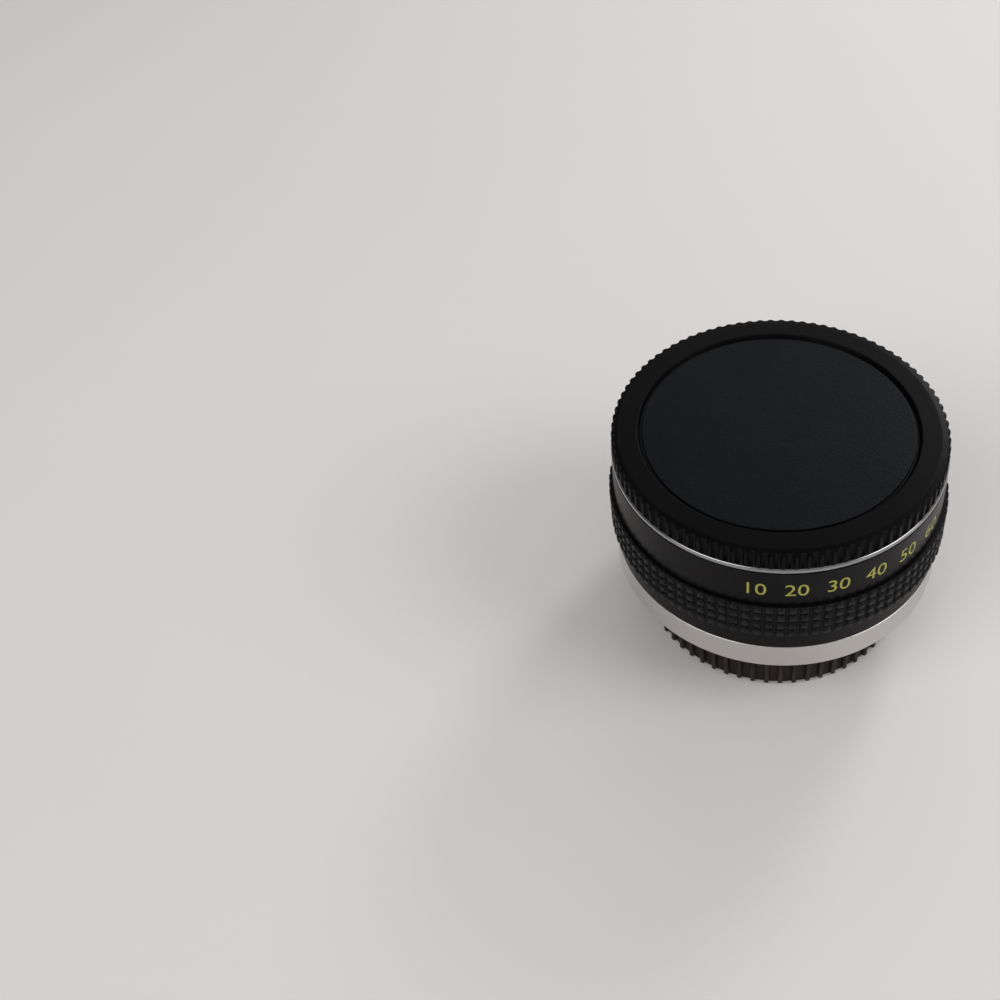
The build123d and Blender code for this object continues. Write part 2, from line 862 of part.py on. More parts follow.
nodes = {
    "rear_cap": rear_cap(),
    "breech_ring": breech_ring(),
    "breech_index_dot": breech_dot(),
    "rear_mount": rear_mount(),
    "rear_mount_screws": Compound(rear_screws()),
    "lock_pin": lock_pin(),
    "lock_pin_spring": lock_pin_spring(),
    "barrel_shell": barrel_shell(),
    "grip_ring": grip_ring(),
    "name_band": name_band(),
    "chrome_trim_ring": chrome_trim_ring(),
    "front_mount": front_mount(),
    "front_mount_screws": Compound(front_screws()),
    "front_index_dot": front_dot(),
    "mount_base_ring": mount_base_ring(),
    "base_ring_screws": Compound(base_screws()),
    "throat_liner": throat_liner(),
    "front_cap": front_cap(),
    "optics_tube": optics_tube(),
    "tube_lock_ring": ring(
        tube_r + glue_gap, tube_flange_r, barrel_low - lock_ring_height, barrel_low
    ),
    "lens_rear": lens(rear_lens_low, rear_lens_edge, rear_lens_sag_low, rear_lens_sag_high),
    "lens_third": lens(
        third_lens_low, third_lens_edge, third_lens_sag_low, third_lens_sag_high
    ),
    "lens_second": lens(
        second_lens_low, second_lens_edge, second_lens_sag_low, second_lens_sag_high
    ),
    "lens_front": lens(
        front_lens_low, front_lens_edge, front_lens_sag_low, front_lens_sag_high
    ),
    "spacer_rear": spacer(rear_spacer_low, rear_spacer_height),
    "spacer_middle": spacer(middle_spacer_low, middle_spacer_height),
    "spacer_front": spacer(front_spacer_low, front_spacer_height),
    "front_retainer": front_retainer(),
    "rear_baffle": rear_baffle(),
    "diaphragm_carrier": carrier(diaphragm_low, diaphragm_stop_angle, diaphragm_travel),
    "diaphragm_rear_lever": lever(diaphragm_rear_angle, lever_low, diaphragm_high),
    "diaphragm_front_lever": lever(diaphragm_front_angle, lever_high, diaphragm_high),
    "signal_carrier": carrier(signal_low, signal_stop_angle, signal_travel),
    "signal_rear_lever": lever(signal_rear_angle, lever_low, signal_high),
    "signal_front_lever": lever(signal_front_angle, lever_high, signal_high),
    "carrier_spacer": carrier_spacer(),
    "carrier_retainer": carrier_retainer(),
    "carrier_stop_screws": Compound(stop_screws()),
    "diaphragm_return_spring": diaphragm_return_spring(),
    "signal_return_spring": signal_return_spring(),
    "aperture_pin": aperture_pin(),
}

os.makedirs("parts", exist_ok=True)
for name, shape in nodes.items():
    export_step(shape, f"parts/{name}.step")
print("largest radius", round(grip_r, 2), "mm, height", round(cap_top, 2), "mm")
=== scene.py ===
import json
import math

import bpy
import numpy as np
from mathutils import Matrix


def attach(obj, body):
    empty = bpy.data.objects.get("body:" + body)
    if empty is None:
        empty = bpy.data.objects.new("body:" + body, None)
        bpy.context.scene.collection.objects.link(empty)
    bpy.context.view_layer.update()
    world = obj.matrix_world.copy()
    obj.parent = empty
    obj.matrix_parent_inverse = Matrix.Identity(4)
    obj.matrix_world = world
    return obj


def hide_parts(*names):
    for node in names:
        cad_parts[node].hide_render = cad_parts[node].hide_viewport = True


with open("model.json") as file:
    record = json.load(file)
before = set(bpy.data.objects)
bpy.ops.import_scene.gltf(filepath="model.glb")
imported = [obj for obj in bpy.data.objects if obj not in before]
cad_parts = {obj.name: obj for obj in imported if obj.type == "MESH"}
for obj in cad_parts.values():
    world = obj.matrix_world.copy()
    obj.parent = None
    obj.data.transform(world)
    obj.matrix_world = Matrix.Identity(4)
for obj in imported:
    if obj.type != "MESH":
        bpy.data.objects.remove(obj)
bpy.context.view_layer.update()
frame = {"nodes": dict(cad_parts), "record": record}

# Camera teleconverter standing on its rear cap. Lengths here are in millimetres and are
# turned into metres where a mesh is made. Z is the optical axis; -Y faces the camera.

nodes = frame["nodes"]

MM = 0.001

# Heights of the rings, from the table up
breech_low = 15.0
breech_height = 5.9
breech_high = breech_low + breech_height
grip_low = 25.7
grip_height = 8.3
grip_high = grip_low + grip_height
band_gap = 0.2
name_low = grip_high + band_gap
name_height = 8.9
name_high = name_low + name_height
trim_height = 1.1
trim_high = name_high + trim_height
cap_low = trim_high
cap_height = 4.1
cap_top = cap_low + cap_height

# Rear cap
rear_skirt_r = 25.9
rear_lift_gap = 0.3
rear_skirt_high = breech_low - rear_lift_gap
rear_collar_r = 25.2
rear_bore_r = 24.0
rear_floor = 1.6
rear_high = 17.8
rear_bevel = 0.5
rear_step_round = 0.1
rear_rim_round = 0.15
rear_corner_round = 0.4
rib_count = 60
rib_reach = 0.75
rib_r = rear_skirt_r + rib_reach
rib_end = 0.5  # bare skirt at either end of a rib
rib_low = rib_end
rib_high = rear_skirt_high - rib_end
rib_base_share = 0.4
rib_tip_share = 0.3
rib_round = 0.14
rib_unevenness = 0.001
rear_lug_sink = 0.5
rear_lug_r = 27.5
rear_lug_thickness = 1.2
rear_lug_low = rear_high - rear_lug_thickness
rear_lug_span = 50.0
rear_lug_first = 60.0

# Bands of the barrel
band_r = 32.3
band_round = 0.22
band_round_steps = 8
seat_r = 31.24
seat_round = 0.05
trim_inner_r = 30.05
trim_round = 0.5

# Breech ring
breech_r = band_r
breech_bore_r = 29.2
breech_neck_r = 27.88
breech_skirt_r = 30.2
breech_lip_low = 18.8
breech_lip_thickness = 1.2
breech_lip_high = breech_lip_low + breech_lip_thickness
breech_lug_r = 26.3
breech_lug_thickness = 1.3
breech_lug_top = breech_low + breech_lug_thickness
breech_lug_span = 50.0
breech_round = 0.24
breech_step_round = 0.1

# Grip ring
grip_floor_stand = 0.54  # the floor between the pads stands this far beyond the bands
grip_stand = 0.99
grip_floor_r = band_r + grip_floor_stand
grip_r = band_r + grip_stand
grip_round = 0.08
pad_count = 96
pad_rows = 4
pad_gap = 0.7
pad_base_share = 0.76
pad_tip_share = 0.56
pad_end_taper = 0.14
pad_round = 0.14
pad_unevenness = 0.002
foot_sink = 0.1  # how far pads and ribs run into the wall that carries them
swell_share = 0.06  # of the taper that is left below the softened tip of a pad or rib
tip_step_share = 0.3  # where in the softened tip its middle row lies
corner_share = 0.8  # cut at the upright corners, over the softness of the tip
block_sides = 8

# Front cap
cap_r = 32.1
cap_wall = 1.9
cap_bore_r = cap_r - cap_wall
cap_under = 46.85
cap_flat_r = 30.6
cap_flat_z = 48.22
cap_bevel_r = 31.75
cap_bevel_z = 48.0
cap_round_low = 47.6
cap_edge_round = 0.12
cap_bore_round = 0.3
cap_flat_round = 0.3
shoulder_steps = 8
shoulder_wear = 0.7
bevel_wear = 0.1
skirt_round_steps = 3
crown_round_steps = 4
bevel_row_shares = (0.07, 0.14, 0.21, 0.28, 0.35, 0.45, 0.7)
disc_edge_r = 26.9
disc_edge_round = 0.16
disc_z = 47.8
disc_round = 0.1
groove_outer_r = 26.4
groove_width = 0.45
groove_inner_r = groove_outer_r - groove_width
groove_depth = 0.35
groove_z = disc_z - groove_depth
groove_round = 0.05
groove_finish_height = 0.1  # the groove's inner wall has the disc's finish above this
flute_count = 90
flute_r = 0.85
flute_axis_r = 32.25
flute_end = 47.7
flute_softness = 0.05
flute_lift = flute_softness**2 / 40  # puts back what the softening takes off the rim
beyond_flute = 9.0  # stands for no cut between two flutes
flute_wall_low = 45.1  # rows of the skirt between its rounded edge and its shoulder
flute_wall_high = 47.2
flute_sample_shares = (0.0, 0.28, 0.5, 0.66, 0.745, 0.79, 0.83, 0.9)  # of half a pitch
cap_lug_r = 26.7
cap_lug_sink = 0.4
cap_lug_low = 44.4
cap_lug_thickness = 0.85
cap_lug_high = cap_lug_low + cap_lug_thickness
cap_lug_span = 48.0
cap_lug_first = 30.0

# Lugs of the caps and the breech ring
lug_count = 3
lug_round = 0.15
lug_sink = 0.3  # how far a lug runs into the wall that carries it
lug_end_share = 0.3  # where in the rounding of a lug's end its middle row lies
lug_inset_share = 0.35  # and how much of the rounding is cut there

# Numbers on the band
number_height = 3.3
number_middle = 38.6
number_lift = 0.03
number_first = -95.0
number_pitch = 13.5
number_labels = ("10", "20", "30", "40", "50", "60")
capital_share = 0.72  # height of a figure over the size of the letters

# Fineness of the meshes
round_steps = 5
rounding_share = 0.48  # of a side that one rounding may take
hold_share = 0.6  # of a rounding's reach
spare_share = 0.4  # of what a rounding leaves of half a side
wear_start = 0.1  # where on a rounding its wear begins
turn_steps = 384
lug_steps = 24
lug_round_steps = 3
end_wear = 0.8
on_axis = 1e-6


# Outlines and meshes


def hold_line(reach, length):
    """How far past a rounding the row lies that keeps the side flat."""
    return min(hold_share * reach, spare_share * (length / 2 - reach))


def outline(corners, closed=True, steps=round_steps):
    """Rows (radius, height, edge) from corners (radius, height, rounding)."""
    rows = []
    count = len(corners)
    for i, (r, z, soft) in enumerate(corners):
        ends = not closed and i in (0, count - 1)
        if soft == 0 or ends:
            rows.append((r, z, 0.0))
            continue
        here = np.array((r, z))
        before = np.array(corners[i - 1][:2]) - here
        after = np.array(corners[(i + 1) % count][:2]) - here
        before_length = np.linalg.norm(before)
        after_length = np.linalg.norm(after)
        reach = min(soft, rounding_share * before_length, rounding_share * after_length)
        hold_before = reach + hold_line(reach, before_length)
        hold_after = reach + hold_line(reach, after_length)
        a = here + before / before_length * reach
        b = here + after / after_length * reach
        rows.append((*(here + before / before_length * hold_before), 0.0))
        for k in range(steps + 1):
            t = k / steps
            point = (1 - t) ** 2 * a + 2 * t * (1 - t) * here + t**2 * b
            rows.append((*point, math.sin(math.pi * (wear_start + (1 - 2 * wear_start) * t))))
        rows.append((*(here + after / after_length * hold_after), 0.0))
    return rows


def even_turn(steps=turn_steps):
    return np.arange(steps) * 2 * math.pi / steps


def lathe(rows, turn, closed=True, push=None):
    """A turned shape. Rows with no radius become one point on the axis."""
    points, edges, starts, faces = [], [], [], []
    steps = len(turn)
    for r, z, edge in rows:
        starts.append(len(points))
        if r < on_axis:
            points.append((0.0, 0.0, z))
            edges.append(edge)
            continue
        radii = np.full(steps, r) if push is None else push(r, z, turn)
        points += list(zip(radii * np.cos(turn), radii * np.sin(turn), np.full(steps, z)))
        edges += [edge] * steps
    lines = len(rows) if closed else len(rows) - 1
    for i in range(lines):
        k = (i + 1) % len(rows)
        low_point, high_point = rows[i][0] < on_axis, rows[k][0] < on_axis
        for j in range(steps):
            n = (j + 1) % steps
            if low_point:
                faces.append((starts[i], starts[k] + n, starts[k] + j))
            elif high_point:
                faces.append((starts[i] + j, starts[i] + n, starts[k]))
            else:
                faces.append((starts[i] + j, starts[i] + n, starts[k] + n, starts[k] + j))
    return points, faces, edges


def lug(inner_r, outer_r, low, high, middle, span, soft=lug_round, steps=lug_steps):
    """A bayonet lug: a softened block bent round the axis."""
    corners = [
        (inner_r, low, soft),
        (outer_r, low, soft),
        (outer_r, high, soft),
        (inner_r, high, soft),
    ]
    rows = outline(corners, steps=lug_round_steps)
    centre_r, centre_z = (inner_r + outer_r) / 2, (low + high) / 2
    half = math.radians(span) / 2
    end = soft / outer_r
    end_row = end * lug_end_share
    stations = [(-half, 1.0), (-half + end_row, lug_inset_share)]
    for k in range(steps + 1):
        stations.append((-half + end + (2 * half - 2 * end) * k / steps, 0.0))
    stations += [(half - end_row, lug_inset_share), (half, 1.0)]
    points, edges, faces = [], [], []
    for angle, inset in stations:
        turn = math.radians(middle) + angle
        for r, z, edge in rows:
            r = r - inset * soft * np.sign(r - centre_r)
            z = z - inset * soft * np.sign(z - centre_z)
            points.append((r * math.cos(turn), r * math.sin(turn), z))
            edges.append(max(edge, end_wear if inset else 0.0))
    n = len(rows)
    for s in range(len(stations) - 1):
        for i in range(n):
            k = (i + 1) % n
            faces.append((s * n + i, (s + 1) * n + i, (s + 1) * n + k, s * n + k))
    faces.append(tuple(range(n)))
    last = (len(stations) - 1) * n
    faces.append(tuple(reversed(range(last, last + n))))
    return points, faces, edges


def lugs(inner_r, outer_r, low, high, first, span):
    step = 360 / lug_count
    return [lug(inner_r, outer_r, low, high, first + i * step, span) for i in range(lug_count)]


def tapered_block(root_r, tip_r, root_width, tip_width, low, high, soft, end_taper=0.0):
    """A pad or rib that stands out along +X, its tip softened all round."""
    middle = (low + high) / 2
    half_height = (high - low) / 2
    tip_height = half_height - end_taper
    swell = (root_width - tip_width) * swell_share
    step = soft * tip_step_share
    rings = [
        (root_r, root_width / 2, half_height, 0.0),
        (tip_r - soft, tip_width / 2 + swell, tip_height, 0.0),
        (tip_r - step, tip_width / 2 - step, tip_height - step, 1.0),
        (tip_r, tip_width / 2 - soft, tip_height - soft, 1.0),
    ]
    points, edges, faces = [], [], []
    for r, half_width, half_length, edge in rings:
        cut = soft * corner_share
        for y, z in (
            (half_width, half_length - cut),
            (half_width - cut, half_length),
            (-half_width + cut, half_length),
            (-half_width, half_length - cut),
            (-half_width, -half_length + cut),
            (-half_width + cut, -half_length),
            (half_width - cut, -half_length),
            (half_width, -half_length + cut),
        ):
            points.append((r, y, middle + z))
            edges.append(edge)
    for s in range(len(rings) - 1):
        for i in range(block_sides):
            k = (i + 1) % block_sides
            near, far = s * block_sides, (s + 1) * block_sides
            faces.append((near + i, near + k, far + k, far + i))
    last = (len(rings) - 1) * block_sides
    faces.append(tuple(range(last, last + block_sides)))
    return points, faces, edges


def mesh_of(name, shapes, sharp=math.radians(44)):
    """One mesh from several (points, faces, edges) shapes, in metres."""
    points, faces, edges = [], [], []
    for shape_points, shape_faces, shape_edges in shapes:
        start = len(points)
        points += shape_points
        faces += [tuple(start + i for i in face) for face in shape_faces]
        edges += shape_edges
    mesh = bpy.data.meshes.new(name)
    mesh.from_pydata([tuple(float(c) * MM for c in p) for p in points], [], faces)
    mesh.polygons.foreach_set("use_smooth", [True] * len(mesh.polygons))
    mesh.set_sharp_from_angle(angle=sharp)
    attribute = mesh.attributes.new("edge_wear", "FLOAT", "POINT")
    attribute.data.foreach_set("value", np.array(edges, np.float32))
    mesh.update()
    return mesh


def piece(name, mesh, material, body, stands_for=()):
    """A finished piece: its mesh, its finish and the body it goes with."""
    thing = bpy.data.objects.new(name, mesh)
    bpy.context.scene.collection.objects.link(thing)
    mesh.materials.clear()
    mesh.materials.append(material)
    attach(thing, body)
    if stands_for:
        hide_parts(*stands_for)


# Repeats round the axis


def round_array():
    """Copies of a shape in rows round the axis, each a little different."""
    tree = bpy.data.node_groups.new("copies round the axis", "GeometryNodeTree")
    sockets = {}
    for label, kind in (
        ("Shape", "NodeSocketGeometry"),
        ("Count", "NodeSocketInt"),
        ("Rows", "NodeSocketInt"),
        ("Row step", "NodeSocketFloat"),
        ("Start angle", "NodeSocketFloat"),
        ("Unevenness", "NodeSocketFloat"),
        ("Seed", "NodeSocketInt"),
        ("Finish", "NodeSocketMaterial"),
    ):
        socket = tree.interface.new_socket(name=label, in_out="INPUT", socket_type=kind)
        sockets[label] = socket.identifier
    tree.interface.new_socket(name="Copies", in_out="OUTPUT", socket_type="NodeSocketGeometry")
    make, join = tree.nodes.new, tree.links.new
    given = make("NodeGroupInput")
    result = make("NodeGroupOutput")

    def number(operation, a, b):
        node = make("ShaderNodeMath")
        node.operation = operation
        for socket, value in zip(node.inputs, (a, b)):
            if isinstance(value, (int, float)):
                socket.default_value = value
            else:
                join(value, socket)
        return node.outputs[0]

    total = number("MULTIPLY", given.outputs["Count"], given.outputs["Rows"])
    line = make("GeometryNodeMeshLine")
    line.mode = "OFFSET"
    join(total, line.inputs["Count"])
    index = make("GeometryNodeInputIndex").outputs[0]
    row = number("FLOOR", number("DIVIDE", index, given.outputs["Count"]), 0)
    step = number("DIVIDE", 2 * math.pi, given.outputs["Count"])
    turned_by = number(
        "ADD", number("MULTIPLY", index, step), given.outputs["Start angle"]
    )
    height = number("MULTIPLY", row, given.outputs["Row step"])

    place = make("ShaderNodeCombineXYZ")
    join(height, place.inputs["Z"])
    move = make("GeometryNodeSetPosition")
    join(line.outputs[0], move.inputs["Geometry"])
    join(place.outputs[0], move.inputs["Position"])

    turn = make("ShaderNodeCombineXYZ")
    join(turned_by, turn.inputs["Z"])
    spread = make("FunctionNodeRandomValue")
    spread.data_type = "FLOAT"
    join(given.outputs["Seed"], spread.inputs["Seed"])
    join(number("SUBTRACT", 1.0, given.outputs["Unevenness"]), spread.inputs[2])
    spread.inputs[3].default_value = 1.0
    scale = make("ShaderNodeCombineXYZ")
    join(spread.outputs[1], scale.inputs["X"])
    scale.inputs["Y"].default_value = 1.0
    scale.inputs["Z"].default_value = 1.0

    copies = make("GeometryNodeInstanceOnPoints")
    join(move.outputs[0], copies.inputs["Points"])
    join(given.outputs["Shape"], copies.inputs["Instance"])
    join(turn.outputs[0], copies.inputs["Rotation"])
    join(scale.outputs[0], copies.inputs["Scale"])
    real = make("GeometryNodeRealizeInstances")
    join(copies.outputs[0], real.inputs[0])
    paint = make("GeometryNodeSetMaterial")
    join(real.outputs[0], paint.inputs["Geometry"])
    join(given.outputs["Finish"], paint.inputs["Material"])
    join(paint.outputs[0], result.inputs[0])
    return tree, sockets


round_tree, round_sockets = round_array()


def repeated(name, shape, count, rows, row_step, start, seed, unevenness, material):
    """The mesh of a shape repeated round the axis."""
    carrier = bpy.data.objects.new(name + "_carrier", mesh_of(name + "_one", [shape]))
    bpy.context.scene.collection.objects.link(carrier)
    modifier = carrier.modifiers.new("copies", "NODES")
    modifier.node_group = round_tree
    for label, value in (
        ("Count", count),
        ("Rows", rows),
        ("Row step", row_step * MM),
        ("Start angle", math.radians(start)),
        ("Unevenness", unevenness),
        ("Seed", seed),
        ("Finish", material),
    ):
        modifier[round_sockets[label]] = value
    carrier.update_tag()
    bpy.context.view_layer.update()
    sight = bpy.context.evaluated_depsgraph_get()
    mesh = bpy.data.meshes.new_from_object(carrier.evaluated_get(sight))
    mesh.name = name
    bpy.data.objects.remove(carrier)
    return mesh


# Shared effects

speck_scale = 1500.0
film_scale = 120.0
smudge_scale = 62.0
wear_scale = 260.0
broad_grain_share = 0.23  # scale of the broad grain over that of the fine one
broad_mark_share = 0.13
mark_drift = 0.0009  # metres of noise that a turning mark passes through in a radian


def shader_group(name, inputs, outputs):
    """A shader node group with named inputs (label, kind, value) and outputs."""
    tree = bpy.data.node_groups.new(name, "ShaderNodeTree")
    for label, kind, value in inputs:
        socket = tree.interface.new_socket(name=label, in_out="INPUT", socket_type=kind)
        if value is not None:
            socket.default_value = value
    for label in outputs:
        tree.interface.new_socket(name=label, in_out="OUTPUT", socket_type="NodeSocketFloat")
    return tree, tree.nodes.new("NodeGroupInput"), tree.nodes.new("NodeGroupOutput")


class Wiring:
    """Short ways to add nodes to one tree."""

    def __init__(self, tree):
        self.tree = tree

    def node(self, kind, **settings):
        made = self.tree.nodes.new(kind)
        for key, value in settings.items():
            setattr(made, key, value)
        return made

    def put(self, value, socket):
        if isinstance(value, bpy.types.NodeSocket):
            self.tree.links.new(value, socket)
        else:
            socket.default_value = value

    def math(self, operation, a, b=0.0, clamp=False):
        made = self.node("ShaderNodeMath", operation=operation, use_clamp=clamp)
        self.put(a, made.inputs[0])
        self.put(b, made.inputs[1])
        return made.outputs[0]

    def noise(self, vector, scale, detail=2.0, roughness=0.5):
        made = self.node("ShaderNodeTexNoise")
        self.put(vector, made.inputs["Vector"])
        self.put(scale, made.inputs["Scale"])
        self.put(detail, made.inputs["Detail"])
        self.put(roughness, made.inputs["Roughness"])
        return made.outputs["Fac"]

    def ramp(self, value, low, high, to_low=0.0, to_high=1.0):
        made = self.node("ShaderNodeMapRange", interpolation_type="SMOOTHSTEP")
        for socket, given in zip(made.inputs, (value, low, high, to_low, to_high)):
            self.put(given, socket)
        return made.outputs[0]

    def mix(self, share, a, b):
        made = self.node("ShaderNodeMix", data_type="RGBA")
        self.put(share, made.inputs[0])
        self.put(a, made.inputs[6])
        self.put(b, made.inputs[7])
        return made.outputs[2]


def grain_group():
    """Fine moulded grain, from its size in metres."""
    tree, given, result = shader_group(
        "moulded grain",
        [("Vector", "NodeSocketVector", None), ("Size", "NodeSocketFloat", 0.0003)],
        ["Height", "Shade"],
    )
    w = Wiring(tree)
    scale = w.math("DIVIDE", 1.0, given.outputs["Size"])
    fine = w.noise(given.outputs["Vector"], scale, 3.0, 0.6)
    broad = w.noise(
        given.outputs["Vector"], w.math("MULTIPLY", scale, broad_grain_share), 2.0
    )
    height = w.math("ADD", fine, w.math("MULTIPLY", broad, 0.4))
    w.put(height, result.inputs["Height"])
    w.put(w.ramp(fine, 0.35, 0.7), result.inputs["Shade"])
    return tree


def marks_group():
    """Fine rings left by turning, a little broken round the axis."""
    tree, given, result = shader_group(
        "turning marks",
        [("Vector", "NodeSocketVector", None), ("Pitch", "NodeSocketFloat", 0.0002)],
        ["Height", "Shade"],
    )
    w = Wiring(tree)
    parts = w.node("ShaderNodeSeparateXYZ")
    w.put(given.outputs["Vector"], parts.inputs[0])
    x, y, z = parts.outputs
    radius = w.math("SQRT", w.math("ADD", w.math("MULTIPLY", x, x), w.math("MULTIPLY", y, y)))
    flat = w.node("ShaderNodeCombineXYZ")
    w.put(radius, flat.inputs[0])
    w.put(z, flat.inputs[1])
    w.put(w.math("MULTIPLY", w.math("ARCTAN2", y, x), mark_drift), flat.inputs[2])
    scale = w.math("DIVIDE", 1.0, given.outputs["Pitch"])
    fine = w.noise(flat.outputs[0], scale, 2.0, 0.55)
    broad = w.noise(flat.outputs[0], w.math("MULTIPLY", scale, broad_mark_share), 2.0)
    w.put(w.math("ADD", fine, w.math("MULTIPLY", broad, 0.5)), result.inputs["Height"])
    w.put(w.ramp(broad, 0.3, 0.7), result.inputs["Shade"])
    return tree


def handling_group():
    """Dust specks, and broad marks of being handled."""
    tree, given, result = shader_group(
        "dust and handling", [("Vector", "NodeSocketVector", None)], ["Dust", "Smudge"]
    )
    w = Wiring(tree)
    vector = given.outputs["Vector"]
    specks = w.ramp(w.noise(vector, speck_scale, 1.0), 0.71, 0.8)
    film = w.ramp(w.noise(vector, film_scale, 4.0, 0.62), 0.46, 0.74)
    dust = w.math("ADD", w.math("MULTIPLY", film, 0.3), specks, clamp=True)
    w.put(dust, result.inputs["Dust"])
    smudge = w.ramp(w.noise(vector, smudge_scale, 3.0, 0.55), 0.35, 0.68)
    w.put(smudge, result.inputs["Smudge"])
    return tree


def edge_group():
    """Where edges have rubbed: the mesh's own edge amount, broken up by noise."""
    tree, given, result = shader_group(
        "rubbed edges", [("Vector", "NodeSocketVector", None)], ["Wear"]
    )
    w = Wiring(tree)
    amount = w.node("ShaderNodeAttribute", attribute_name="edge_wear").outputs["Fac"]
    patches = w.ramp(w.noise(given.outputs["Vector"], wear_scale, 4.0, 0.65), 0.36, 0.68)
    w.put(w.math("MULTIPLY", amount, patches), result.inputs["Wear"])
    return tree


grain_tree = grain_group()
marks_tree = marks_group()
handling_tree = handling_group()
edge_tree = edge_group()


def finish(
    name,
    colour,
    roughness,
    metallic=0.0,
    specular=0.5,
    shade=0.12,
    grain=0.0,
    grain_size=0.3,
    marks=0.0,
    mark_pitch=0.2,
    dust=0.15,
    dust_colour=(0.3, 0.29, 0.27),
    wear=0.0,
    wear_colour=(0.2, 0.2, 0.2),
):
    """A finish built from the shared effects. Depths and sizes are in millimetres."""
    material = bpy.data.materials.new(name)
    material.use_nodes = True
    tree = material.node_tree
    tree.nodes.clear()
    w = Wiring(tree)
    surface = w.node("ShaderNodeBsdfPrincipled")
    output = w.node("ShaderNodeOutputMaterial")
    tree.links.new(surface.outputs[0], output.inputs[0])
    surface.inputs["Specular IOR Level"].default_value = specular
    surface.inputs["Metallic"].default_value = metallic
    where = w.node("ShaderNodeTexCoord").outputs["Object"]

    def effect(group, **inputs):
        made = w.node("ShaderNodeGroup", node_tree=group)
        w.put(where, made.inputs["Vector"])
        for label, value in inputs.items():
            made.inputs[label].default_value = value
        return made

    handled = effect(handling_tree)
    light = (*colour, 1.0)
    dark = (*[c * (1 - shade * 2) for c in colour], 1.0)
    heights = []
    tone = handled.outputs["Smudge"]
    if grain:
        node = effect(grain_tree, Size=grain_size * MM)
        tone = node.outputs["Shade"]
        heights.append(w.math("MULTIPLY", node.outputs["Height"], grain * MM))
    if marks:
        node = effect(marks_tree, Pitch=mark_pitch * MM)
        tone = node.outputs["Shade"]
        heights.append(w.math("MULTIPLY", node.outputs["Height"], marks * MM))
    base = w.mix(tone, dark, light)
    dusty = w.math("MULTIPLY", handled.outputs["Dust"], dust)
    base = w.mix(dusty, base, (*dust_colour, 1.0))
    rough = w.math("ADD", roughness, w.math("MULTIPLY", handled.outputs["Smudge"], shade * 0.6))
    rough = w.math("ADD", rough, w.math("MULTIPLY", dusty, 0.5), clamp=True)
    if wear:
        rubbed = w.math("MULTIPLY", effect(edge_tree).outputs["Wear"], wear)
        base = w.mix(rubbed, base, (*wear_colour, 1.0))
        rough = w.math("SUBTRACT", rough, w.math("MULTIPLY", rubbed, 0.12), clamp=True)
    w.put(base, surface.inputs["Base Color"])
    w.put(rough, surface.inputs["Roughness"])
    if heights:
        total = heights[0] if len(heights) == 1 else w.math("ADD", *heights)
        bump = w.node("ShaderNodeBump")
        bump.inputs["Distance"].default_value = 1.0
        bump.inputs["Strength"].default_value = 1.0
        w.put(total, bump.inputs["Height"])
        w.put(bump.outputs[0], surface.inputs["Normal"])
    return material


finishes = {
    "cap_plastic_black": finish(
        "black cap plastic", (0.0019, 0.0017, 0.0021), 0.36, specular=0.065, shade=0.1,
        grain=0.003, grain_size=0.3, dust=0.01, wear=0.2, wear_colour=(0.016, 0.015, 0.017),
    ),
    "cap_plastic_brown": finish(
        "brown black cap plastic", (0.0185, 0.012, 0.0098), 0.46, specular=0.16, shade=0.12,
        grain=0.004, grain_size=0.4, dust=0.06, wear=0.35, wear_colour=(0.06, 0.048, 0.04),
    ),
    "satin_aluminium": finish(
        "satin aluminium", (0.6, 0.588, 0.576), 0.32, metallic=1.0, shade=0.012,
        marks=0.00006, mark_pitch=0.1, dust=0.05, wear=0.5, wear_colour=(0.86, 0.86, 0.86),
    ),
    "polished_trim": finish(
        "polished trim", (0.36, 0.36, 0.37), 0.12, metallic=1.0, shade=0.04,
        marks=0.0002, mark_pitch=0.12, dust=0.03,
    ),
    "chromed_mount": finish(
        "chromed mount", (0.7, 0.7, 0.69), 0.17, metallic=1.0, shade=0.05,
        marks=0.0003, mark_pitch=0.15, dust=0.12,
    ),
    "black_anodised": finish(
        "black anodised band", (0.0045, 0.004, 0.0045), 0.3, specular=0.09, shade=0.08,
        grain=0.0012, grain_size=0.18, dust=0.02, wear=0.2, wear_colour=(0.05, 0.05, 0.052),
    ),
    "black_grip": finish(
        "black grip", (0.0042, 0.0038, 0.0046), 0.4, specular=0.14, shade=0.1,
        grain=0.0015, grain_size=0.2, dust=0.03, wear=0.35, wear_colour=(0.03, 0.03, 0.032),
    ),
    "optical_black": finish(
        "matt optical black", (0.008, 0.008, 0.008), 0.62, specular=0.3, shade=0.1,
        grain=0.003, grain_size=0.15, dust=0.04,
    ),
    "lever_brass": finish(
        "turned brass", (0.62, 0.45, 0.2), 0.3, metallic=1.0, shade=0.08,
        marks=0.0005, dust=0.05,
    ),
    "lever_steel": finish(
        "plated steel", (0.6, 0.6, 0.58), 0.26, metallic=1.0, shade=0.06,
        marks=0.0003, dust=0.05,
    ),
    "spring_steel": finish(
        "spring steel", (0.5, 0.5, 0.5), 0.3, metallic=1.0, shade=0.06,
        grain=0.001, dust=0.04,
    ),
    "screw_steel": finish(
        "screw steel", (0.52, 0.52, 0.51), 0.28, metallic=1.0, shade=0.06,
        grain=0.001, grain_size=0.2, dust=0.05,
    ),
    "red_paint": finish(
        "red paint", (0.5, 0.02, 0.015), 0.36, shade=0.08, grain=0.002, dust=0.06,
    ),
}
# The floor between the pads is a darker copy of the black grip: painted shade in the grooves
# between the pads.
grip_floor_painted_shade_finish = finish(
    "black grip floor with painted shade", (0.0034, 0.0031, 0.0036), 0.5, specular=0.11, shade=0.1, dust=0.02,
)
